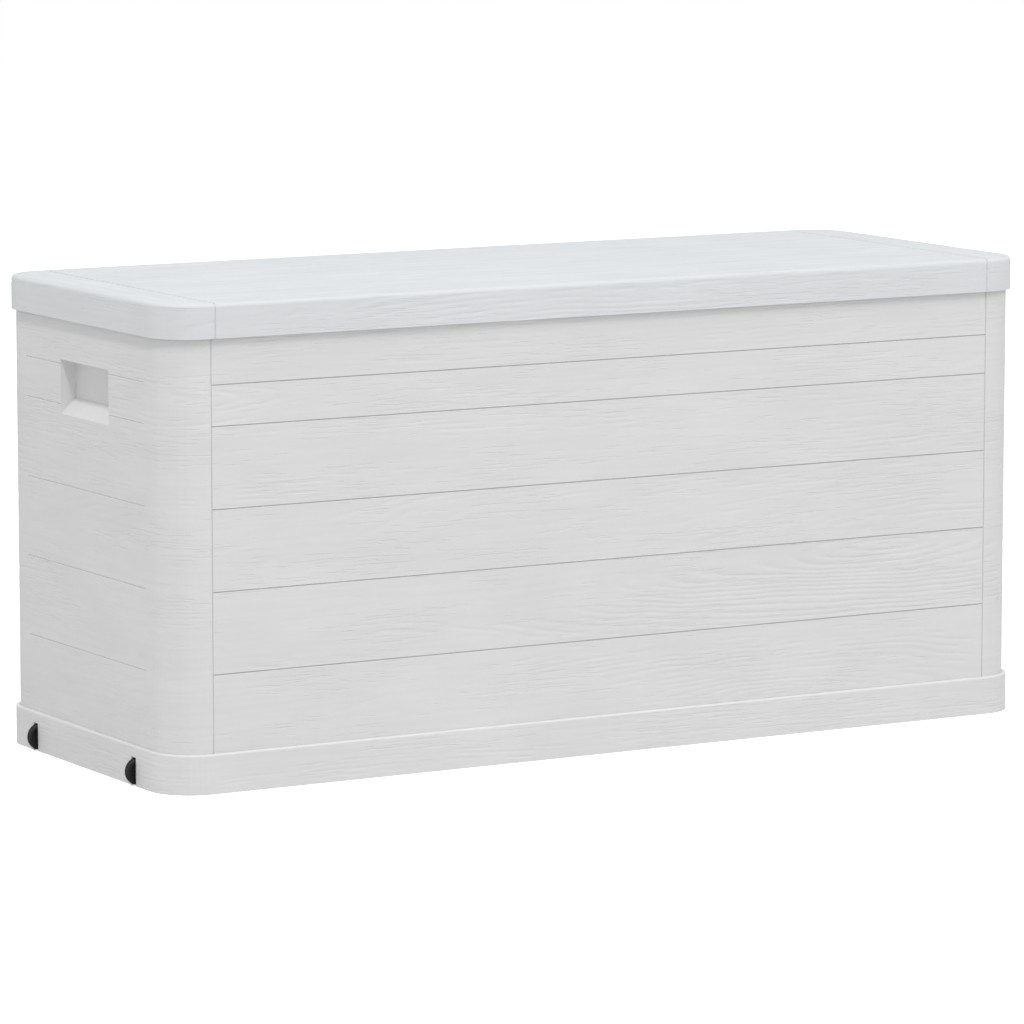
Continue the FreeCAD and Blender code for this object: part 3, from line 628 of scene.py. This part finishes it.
@dataclass
class Moulding(Piece, ABC):
    """Resin moulding whose outer faces get a fine grid and pressed grain."""

    outline: Outline
    finishes: dict[Run, bpy.types.Material]
    grain: WoodGrain = WoodGrain()
    row_step: float = 1.15 * MM * COARSER
    column_step: float = 6.5 * MM * COARSER
    crease_angle: float = math.radians(32)
    facing_out: float = 0.9
    skin: float = 1.2 * MM
    # whether grooves and seams get painted shade
    paints_groove_shade: bool = True
    groove_edge: float = 0.1 * MM
    groove_depth: float = 1 * MM
    groove_limit: float = 1.2 * MM
    mesh: bmesh.types.BMesh = field(init=False, repr=False)
    outer: bmesh.types.BMLayerItem = field(init=False, repr=False)
    low: Vector = field(init=False, repr=False)
    high: Vector = field(init=False, repr=False)

    @abstractmethod
    def divide(self) -> None:
        """Cut the outer faces into the grid that carries the grain."""

    @abstractmethod
    def grain_place(self, point: Vector, run: Run) -> GrainPlace:
        """Find where a point lies in the grain, from how the grain runs there."""

    def find_run(self, face: Face) -> Run:
        """Work out how the grain runs over a face: round the outer skin and nowhere else.

        Args:
            face: Face of the solid.

        Returns:
            How the grain runs there.
        """
        near = self.outline.inset(face.calc_center_median()) < self.skin
        return Run.ROUND if near and self.outline.outward(face) > self.facing_out else Run.PLAIN

    def mark_outer(self) -> None:
        """Note on every face how the grain runs over it, which the parts of a cut face keep."""
        self.outer = self.mesh.faces.layers.int.new("outer")
        self.mesh.normal_update()
        for face in self.mesh.faces:
            face[self.outer] = self.find_run(face).value

    def run_of(self, face: Face) -> Run:
        """Read how the grain runs over a face."""
        return Run(face[self.outer])

    def faces_with(self, run: Run) -> list[Face]:
        """List the faces over which the grain runs in one way."""
        return [face for face in self.mesh.faces if face[self.outer] == run.value]

    def cut(
        self, faces: Iterable[Face], axis: Vector, step: float,
        start: float | None = None, end: float | None = None,
    ) -> list[Face]:
        """Cut faces by even planes square to an axis, each plane only through what lies beyond the last.

        Args:
            faces: Faces to cut.
            axis: Direction that the planes are square to.
            step: Largest distance between two planes.
            start: Where the grid starts along the axis, or None for the start of the solid.
            end: Where the grid ends, or None for the end of the solid.

        Returns:
            All faces that the given ones have become.
        """
        start = self.low.dot(axis) if start is None else start
        end = self.high.dot(axis) if end is None else end
        waiting, done = list(faces), []
        for place in evenly(start, end, step):
            parts = {part for face in waiting for part in (*face.verts, *face.edges, face)}
            result = bmesh.ops.bisect_plane(
                self.mesh, geom=list(parts), dist=MERGE, plane_co=axis * place, plane_no=axis
            )
            cut_faces = [part for part in result["geom"] if isinstance(part, Face)]
            waiting = [face for face in cut_faces if face.calc_center_median().dot(axis) > place]
            done += [face for face in cut_faces if face.calc_center_median().dot(axis) <= place]
            if not waiting:
                break
        return done + waiting

    def skin_depth(self, point: Vector) -> float:
        """Measure how deep a point lies below the outer skin."""
        return self.outline.inset(point)

    def groove_shade_share(self, point: Vector) -> float:
        """Say how strongly painted shade darkens a groove at a point, from 0 to 1."""
        return 1.0

    def shade_grooves(self) -> None:
        """Note how deep the corners of groove and seam faces lie, for the painted shade that darkens them
        by depth.
        """
        layer = self.mesh.loops.layers.float.new(GROOVE_SHADE)
        for face in self.faces_with(Run.PLAIN):
            depths = [self.skin_depth(vert.co) for vert in face.verts]
            if min(depths) < self.groove_edge and max(depths) < self.groove_limit:
                share = self.groove_shade_share(face.calc_center_median())
                for loop, depth in zip(face.loops, depths):
                    loop[layer] = share * min(depth / self.groove_depth, 1.0)

    def press_grain(self) -> None:
        """Press the grain into every vertex that lies inside the grained faces, away from creases."""
        self.mesh.normal_update()
        least = math.cos(self.crease_angle / 2)
        moves = []
        for vert in self.mesh.verts:
            faces = vert.link_faces
            run = self.run_of(faces[0])
            if run is Run.PLAIN or any(self.run_of(face) is not run for face in faces):
                continue
            if any(vert.normal.dot(face.normal) < least for face in faces):
                continue
            place = self.grain_place(vert.co, run)
            if place.share > 0.0:
                moves.append((vert, vert.normal * -place.share * self.grain.press(place)))
        for vert, move in moves:
            vert.co += move

    def build(self) -> bpy.types.Object:
        """Build the moulding.

        Returns:
            The finished object.
        """
        self.low, self.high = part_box(self.node)
        self.mesh = self.merged_copy()
        self.mark_outer()
        self.divide()
        # paint shade into the grooves and seams
        if self.paints_groove_shade:
            self.shade_grooves()
        self.press_grain()
        for face in self.mesh.faces:
            face.material_index = face[self.outer]
        for edge in self.mesh.edges:
            edge.smooth = edge.calc_face_angle(0.0) < self.crease_angle
        return self.place(self.mesh, "moulding", [self.finishes[run] for run in Run])


@dataclass
class WallPanel(Moulding):
    """Wall with planks between level grooves, either long and flat or wrapped round two corners."""

    facing_out: float = 0.8
    grooves: tuple[float, ...] = (136.2 * MM, 230.7 * MM, 325.2 * MM, 419.7 * MM, 466.95 * MM)
    hearts: dict[int, Heart] = field(
        default_factory=lambda: {
            0: Heart(along=0.24, across=50 * MM, facing=0.0, pull=0.25),
            1: Heart(along=0.38, across=221 * MM, facing=0.0, pull=0.75, reach=0.6),
            2: Heart(along=0.50, across=236 * MM, pull=0.2),
            4: Heart(along=-0.62, across=452 * MM, facing=0.0, pull=0.2),
        }
    )
    hidden_above: float = 520 * MM
    seam: float = 526.6 * MM
    # shares of the painted groove shade in the seams and on the ends
    seam_share: float = 0.4
    end_share: float = 0.1
    end_calm: float = 0.25

    def groove_shade_share(self, point: Vector) -> float:
        """Say how strongly painted shade darkens a groove: less in the seams and least on the ends.

        Args:
            point: Place in the groove.

        Returns:
            A number from 0 to 1.
        """
        if abs(point.x) < self.seam:
            return 1.0
        on_end = abs(point.y) < self.outline.half_depth - self.outline.radius
        return self.end_share if on_end else self.seam_share

    def grain_place(self, point: Vector, run: Run) -> GrainPlace:
        """Find where a point of the wall lies in the grain, which is calmer on the ends.

        Args:
            point: Place on the wall.
            run: How the grain runs there; not used.

        Returns:
            The place in the grain of its plank.
        """
        plank = sum(point.z > groove for groove in self.grooves)
        turned = self.outline.away(point).normalized().x ** 2
        share = 0.0 if point.z > self.hidden_above else 1.0 - self.end_calm * turned
        along = self.outline.around(point.x, point.y)
        return GrainPlace(along, point.z, plank, self.hearts.get(plank), share)

    def divide(self) -> None:
        """Cut the wall into rows up to the lid's skirt, and along its longer side into columns."""
        size = self.high - self.low
        rows = self.cut(self.faces_with(Run.ROUND), Z_AXIS, self.row_step, end=self.hidden_above)
        self.cut(rows, X_AXIS if size.x > size.y else Y_AXIS, self.column_step)


@dataclass
class Lid(Moulding):
    """Lid with grain along its top and skirts, and across it beyond the two cross grooves."""

    edge_radius: float = 5 * MM
    level: float = 0.1
    cross_groove: float = 525 * MM
    side_depth: float = 1 * MM
    top_row_step: float = 1.3 * MM * COARSER
    end_row_step: float = 9 * MM * COARSER
    # share of the painted groove shade on the top
    top_share: float = 0.4
    top_heart: Heart = Heart(along=-0.42, across=-0.06)
    skirt_heart: Heart = Heart(along=-0.08, across=512 * MM)
    skirt_board: int = 11
    top_board: int = 12
    end_board: int = 13

    def find_run(self, face: Face) -> Run:
        """Work out how the grain runs over a face: along the top, across its ends or round the skirt.

        Args:
            face: Face of the solid.

        Returns:
            How the grain runs there.
        """
        center = face.calc_center_median()
        if face.normal.z > self.facing_out and center.z > self.high.z - self.skin:
            return Run.ALONG_X if abs(center.x) < self.cross_groove else Run.ALONG_Y
        upright = abs(face.normal.z) < self.level
        if upright and super().find_run(face) is Run.ROUND:
            return Run.ROUND
        on_edge = self.outline.inset(center) < self.edge_radius + MERGE
        if on_edge and face.normal.z > 0 and self.outline.outward(face) > 0:
            return Run.ROUND
        return Run.PLAIN

    def skin_depth(self, point: Vector) -> float:
        """Measure how deep a point lies below the top or the skirt."""
        return min(self.high.z - point.z, self.outline.inset(point))

    def groove_shade_share(self, point: Vector) -> float:
        """Say how strongly painted shade darkens a groove: less on the top than on the skirts."""
        return self.top_share if self.outline.inset(point) > self.edge_radius else 1.0

    def grain_place(self, point: Vector, run: Run) -> GrainPlace:
        """Find where a point of the lid lies in the grain, which fades in over the rounded edge.

        Args:
            point: Place on the lid.
            run: How the grain runs there.

        Returns:
            The place in the grain of the top, of one of its ends or of the skirt.
        """
        if run is Run.ALONG_X:
            return GrainPlace(point.x, point.y, self.top_board, self.top_heart)
        if run is Run.ALONG_Y:
            return GrainPlace(point.y, point.x, self.end_board)
        share = smoothstep(self.high.z, self.high.z - self.edge_radius, point.z)
        along = self.outline.around(point.x, point.y)
        return GrainPlace(along, point.z, self.skirt_board, self.skirt_heart, share)

    def divide(self) -> None:
        """Cut the top, its two ends and the skirts into rows and columns of their own."""
        skirt, top, ends = (self.faces_with(run) for run in (Run.ROUND, Run.ALONG_X, Run.ALONG_Y))
        skirt = self.cut(skirt, Z_AXIS, self.row_step, end=self.high.z - self.edge_radius)
        top = self.cut(top, Y_AXIS, self.top_row_step)
        ends = self.cut(ends, Y_AXIS, self.end_row_step)
        left = [face for face in ends if face.calc_center_median().x < 0]
        right = [face for face in ends if face.calc_center_median().x > 0]
        self.cut(left, X_AXIS, self.row_step, end=-self.cross_groove)
        self.cut(right, X_AXIS, self.row_step, start=self.cross_groove)
        long_side = self.outline.half_depth - self.side_depth
        long_skirt = [face for face in skirt if abs(face.calc_center_median().y) > long_side]
        end_skirt = [face for face in skirt if abs(face.calc_center_median().y) <= long_side]
        self.cut(end_skirt, Y_AXIS, self.column_step)
        self.cut(top + long_skirt, X_AXIS, self.column_step)


@dataclass
class BaseTray(Moulding):
    """Base whose skirt carries the grain round the box."""

    skin: float = 2.5 * MM
    # the base gets no painted groove shade
    paints_groove_shade: bool = False
    skirt_board: int = 21

    def grain_place(self, point: Vector, run: Run) -> GrainPlace:
        """Find where a point of the skirt lies in the grain."""
        return GrainPlace(self.outline.around(point.x, point.y), point.z, self.skirt_board)

    def divide(self) -> None:
        """Cut the skirt into rows, and each of its sides into columns."""
        skirt = self.faces_with(Run.ROUND)
        for axis, step in ((Z_AXIS, self.row_step), (X_AXIS, self.column_step), (Y_AXIS, self.column_step)):
            skirt = self.cut(skirt, axis, step)


@dataclass
class Wheel(Piece):
    """Small hard wheel: dished sides with a hub and ribs, and a grooved tread."""

    finish: bpy.types.Material
    bore: float = 2.56 * MM
    hub: float = 5 * MM
    rim: float = 12 * MM
    edge: float = 1.2 * MM
    dish: float = 1.5 * MM
    tread_grooves: tuple[float, ...] = (-2 * MM, 0.0, 2 * MM)
    groove_half: float = 0.35 * MM
    groove_flare: float = 1.6
    groove_depth: float = 0.5 * MM
    rib_count: int = 8
    rib_width: float = 1.1 * MM
    rib_height: float = 0.9 * MM
    rounding: float = 0.3 * MM
    corner_angle: float = math.radians(35)
    steps: int = 64

    def section(self, radius: float, half: float) -> list[Pair]:
        """Outline of the wheel's section.

        Args:
            radius: Radius over the tread.
            half: Half of the width.

        Returns:
            Points as distance from the axle and place along it, in order round the section.
        """
        dished = half - self.dish
        side = [(self.bore, half), (self.hub, half), (self.hub, dished), (self.rim, dished)]
        side += [(self.rim, half), (radius - self.edge, half), (radius, half - self.edge)]
        mouth, bottom = self.groove_half * self.groove_flare, radius - self.groove_depth
        tread = []
        for middle in self.tread_grooves:
            tread += [(radius, middle - mouth), (bottom, middle - self.groove_half)]
            tread += [(bottom, middle + self.groove_half), (radius, middle + mouth)]
        return [(reach, -place) for reach, place in side] + tread + side[::-1]

    def build(self) -> bpy.types.Object:
        """Build the wheel.

        Returns:
            The finished object.
        """
        low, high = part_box(self.node)
        center, radius, half = (low + high) / 2, (high.z - low.z) / 2, (high.y - low.y) / 2
        mesh = bmesh.new()
        points = [mesh.verts.new((reach, place, 0.0)) for reach, place in self.section(radius, half)]
        loop = [mesh.edges.new((points[index - 1], points[index])) for index in range(len(points))]
        bmesh.ops.spin(
            mesh, geom=points + loop, cent=(0, 0, 0), axis=Y_AXIS, angle=2 * math.pi,
            steps=self.steps, use_merge=True,
        )
        bmesh.ops.remove_doubles(mesh, verts=mesh.verts[:], dist=MERGE)
        bmesh.ops.recalc_face_normals(mesh, faces=mesh.faces[:])
        corners = [edge for edge in mesh.edges if edge.calc_face_angle(0.0) > self.corner_angle]
        bmesh.ops.bevel(
            mesh, geom=corners, offset=self.rounding, segments=2, profile=0.5, affect="EDGES",
            material=-1, clamp_overlap=True,
        )
        self.add_ribs(mesh, half)
        bmesh.ops.translate(mesh, verts=mesh.verts[:], vec=center)
        return self.place(mesh, "turned", [self.finish])

    def add_ribs(self, mesh: bmesh.types.BMesh, half: float) -> None:
        """Add the ribs that run from hub to rim on both sides.

        Args:
            mesh: The wheel about the origin.
            half: Half of its width.
        """
        length = self.rim - self.hub + 2 * self.rounding
        for side in (-1, 1):
            for index in range(self.rib_count):
                turn = Matrix.Rotation(2 * math.pi * index / self.rib_count, 4, "Y")
                depth = side * (half - self.dish)
                stand = Matrix.Translation(((self.hub + self.rim) / 2, depth, 0.0))
                size = Matrix.Diagonal((length, 2 * self.rib_height, self.rib_width, 1.0))
                bmesh.ops.create_cube(mesh, size=1.0, matrix=turn @ stand @ size)


@dataclass
class SmallPart(Piece):
    """Small solid that keeps its shape and gets rounded edges and a finish."""

    finish: bpy.types.Material
    rounding: float
    edge_angle: float = math.radians(38)

    def build(self) -> bpy.types.Object:
        """Build the part.

        Returns:
            The finished object.
        """
        piece = self.place(self.merged_copy(), "rounded", [self.finish])
        bevel = piece.modifiers.new("rounded edges", "BEVEL")
        bevel.width = self.rounding
        bevel.segments = 2
        bevel.limit_method = "ANGLE"
        bevel.angle_limit = self.edge_angle
        bevel.harden_normals = True
        return piece


@dataclass(frozen=True)
class StorageBox:
    """The whole box: its mouldings, and the wheels, hinges, clips, screws and pins."""

    shell: Outline = Outline(half_length=585 * MM, half_depth=225 * MM, radius=53 * MM)
    walls: Outline = Outline(half_length=579.7 * MM, half_depth=219.7 * MM, radius=47.7 * MM)
    panels: tuple[str, ...] = ("front_panel", "rear_panel", "left_end_panel", "right_end_panel")
    lid_color: Color = (0.734, 0.746, 0.766)
    # lid top: its own faint cyan tint, made darker than the lid as painted shade against the light from
    # above
    top_tint_and_shade: Color = (0.684, 0.714, 0.736)
    lid_roughness: float = 0.6
    clip_rounding: float = 0.35 * MM
    steel_rounding: float = 0.12 * MM

    def lid_finish(self, run: Run) -> ResinFinish:
        """Choose the finish of the lid, whose top has broader and stronger streaks than its skirt and a
        darker colour that paints shade on it.

        Args:
            run: How the grain runs there.

        Returns:
            The finish.
        """
        if run in (Run.PLAIN, Run.ROUND):
            return ResinFinish(run, "lid resin", self.lid_color, self.lid_roughness)
        # the top's colour carries painted shade
        return ResinFinish(
            run, "lid top resin", self.top_tint_and_shade, self.lid_roughness,
            streak_repeats=(7.0, 85.0), streak_tone=(0.97, 1.022),
        )

    def build_mouldings(self) -> None:
        """Build the walls, the lid and the base."""
        wall_resin = {run: ResinFinish(run).material() for run in Run}
        lid_resin = {run: self.lid_finish(run).material() for run in Run}
        for panel in self.panels:
            WallPanel(panel, self.walls, wall_resin).build()
        Lid("lid", self.shell, lid_resin).build()
        BaseTray("base_tray", self.shell, wall_resin).build()

    def build_small_parts(self) -> None:
        """Build the wheels and all the small parts, each in the finish of its slot."""
        grey = PlainFinish("grey resin", (0.42, 0.43, 0.45), roughness=0.5).material()
        black_color, steel_color = (0.006, 0.006, 0.0065), (0.6, 0.6, 0.62)
        black = PlainFinish("black plastic", black_color, roughness=0.55, specular=0.3).material()
        steel = PlainFinish("zinc plated steel", steel_color, roughness=0.32, metallic=1.0).material()
        for row in frame["record"]["subparts"]:
            node, slot = row["node"], row["material_slot"]
            if slot == "black_plastic":
                Wheel(node, black).build()
            elif slot == "grey_resin":
                SmallPart(node, grey, self.clip_rounding).build()
            elif slot == "steel":
                SmallPart(node, steel, self.steel_rounding).build()


@dataclass(frozen=True)
class SoftLamp:
    """Flat lamp that hangs off the box and faces it."""

    name: str
    toward: tuple[float, float, float]
    distance: float
    size: Pair
    power: float
    long_axis: Vector

    def hang(self) -> None:
        """Hang the lamp, turned to the box with its long side along its axis."""
        lamp = bpy.data.lights.new(self.name, "AREA")
        lamp.shape = "RECTANGLE"
        lamp.size, lamp.size_y = self.size
        lamp.energy = self.power
        back = Vector(self.toward).normalized()
        side = (self.long_axis - back * self.long_axis.dot(back)).normalized()
        turn = Matrix((side, back.cross(side), back)).transposed().to_4x4()
        hung = bpy.data.objects.new(self.name, lamp)
        hung.matrix_world = Matrix.Translation(back * self.distance) @ turn
        bpy.context.scene.collection.objects.link(hung)


@dataclass
class Studio:
    """Pale floor, even light all round, a long strip of light from the upper left and a lamp in front."""

    floor_half: float = 12.0
    floor_albedo: float = 0.80
    floor_lift: float = 0.70
    surround: float = 0.60
    lamps: tuple[SoftLamp, ...] = (
        SoftLamp("key", (-0.32, -0.26, 0.77), distance=7.0, size=(3.4, 0.7), power=160.0, long_axis=Y_AXIS),
        SoftLamp("front", (0.42, -0.50, 0.72), distance=7.0, size=(2.0, 1.6), power=92.0, long_axis=Z_AXIS),
    )

    def build(self) -> None:
        """Build the floor, the world and the lamps."""
        self.lay_floor()
        self.set_world()
        for lamp in self.lamps:
            lamp.hang()

    def lay_floor(self) -> None:
        """Lay a pale floor that turns white for the camera but keeps the shadow."""
        mesh = bmesh.new()
        bmesh.ops.create_grid(mesh, x_segments=1, y_segments=1, size=self.floor_half)
        data = bpy.data.meshes.new("floor")
        mesh.to_mesh(data)
        mesh.free()
        floor = bpy.data.objects.new("floor", data)
        bpy.context.scene.collection.objects.link(floor)
        material = bpy.data.materials.new("floor")
        material.use_nodes = True
        material.node_tree.nodes.clear()
        work = NodeWork(material.node_tree)
        diffuse = work.add("ShaderNodeBsdfDiffuse", Color=(*[self.floor_albedo] * 3, 1.0))
        seen = work.add("ShaderNodeLightPath").outputs["Is Camera Ray"]
        glow = work.add("ShaderNodeEmission", Strength=work.math("MULTIPLY", seen, self.floor_lift))
        total = work.add("ShaderNodeAddShader")
        work.feed(total.inputs[0], diffuse.outputs["BSDF"])
        work.feed(total.inputs[1], glow.outputs["Emission"])
        work.add("ShaderNodeOutputMaterial", Surface=total.outputs["Shader"])
        data.materials.append(material)

    def set_world(self) -> None:
        """Surround the box with even light that looks white to the camera and in reflections."""
        world = bpy.data.worlds.new("studio")
        bpy.context.scene.world = world
        world.use_nodes = True
        world.node_tree.nodes.clear()
        work = NodeWork(world.node_tree)
        light = work.add("ShaderNodeBackground", Color=WHITE, Strength=self.surround)
        white = work.add("ShaderNodeBackground", Color=WHITE, Strength=1.0)
        path = work.add("ShaderNodeLightPath")
        seen = path.outputs["Is Camera Ray"]
        for way in ("Is Glossy Ray", "Is Transmission Ray"):
            seen = work.math("MAXIMUM", seen, path.outputs[way])
        mix = work.add("ShaderNodeMixShader", Fac=seen)
        work.feed(mix.inputs[1], light.outputs["Background"])
        work.feed(mix.inputs[2], white.outputs["Background"])
        work.add("ShaderNodeOutputWorld", Surface=mix.outputs["Shader"])


@dataclass
class PhotoCamera:
    """Camera at the photograph's place: a long lens a little to the left and above."""

    place: tuple[float, float, float] = (-3.492506, -6.027204, 1.231891)
    yaw: float = math.radians(30.02)
    pitch: float = math.radians(7.9445)
    focal_pixels: float = 5825.16
    image_pixels: int = 1024
    sensor: float = 36.0

    def build(self) -> None:
        """Set the camera up."""
        data = bpy.data.cameras.new("photo")
        data.sensor_width = self.sensor
        data.lens = self.focal_pixels * self.sensor / self.image_pixels
        camera = bpy.data.objects.new("photo", data)
        camera.location = self.place
        camera.rotation_euler = (math.pi / 2 - self.pitch, 0.0, -self.yaw)
        bpy.context.scene.collection.objects.link(camera)
        bpy.context.scene.camera = camera


def main() -> None:
    """Build the box and its studio; each new piece logs its number of faces."""
    logging.basicConfig(level=logging.INFO, format="%(name)s: %(message)s")
    box = StorageBox()
    box.build_mouldings()
    box.build_small_parts()
    Studio().build()
    PhotoCamera().build()
    bpy.context.scene.view_settings.view_transform = "Standard"


if __name__ == "__main__":
    main()
